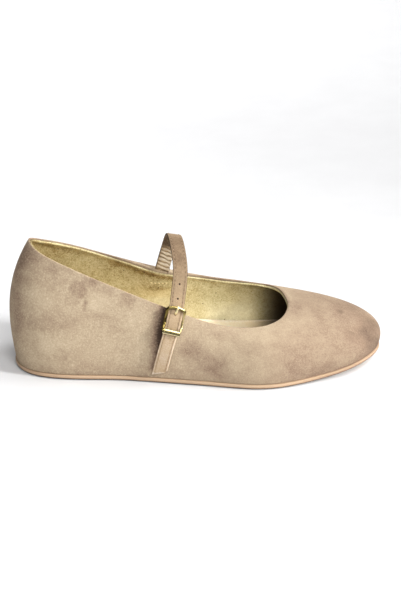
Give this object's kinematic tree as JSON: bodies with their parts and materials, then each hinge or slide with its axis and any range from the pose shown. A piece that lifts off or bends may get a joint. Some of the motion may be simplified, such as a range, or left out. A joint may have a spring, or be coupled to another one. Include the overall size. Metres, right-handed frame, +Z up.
{
  "type": "wedge shoe",
  "caption": "Right low-cut round-toe shoe with a hollow suede upper on a hidden inner wedge, thin flat sole, and a narrow instep strap closed by a bar buckle.",
  "frame": {"origin": "on the floor under the middle of the shoe's bounding box", "axes": "+X from heel to toe, +Y to the medial side (the left of this right shoe), +Z up; the sole's flat stands on Z = 0"},
  "size_m": [0.2514, 0.0876, 0.0921],
  "materials": {
    "tan_sole": "matte tan sole with a smooth edge",
    "taupe_suede": "napped taupe suede outside, gold leather lining",
    "gold_sock": "gold leather sock over the wedge",
    "strap_suede": "napped taupe suede with pale edges",
    "gold_metal": "polished",
    "gold_prong": "polished",
    "tab_suede": "napped taupe suede"
  },
  "bodies": {
    "root": {"outsole": "tan_sole", "upper": "taupe_suede", "insole_wedge": "gold_sock", "strap": "strap_suede", "buckle_frame": "gold_metal", "buckle_prong": "gold_prong", "buckle_tab": "tab_suede"}
  },
  "joints": []
}
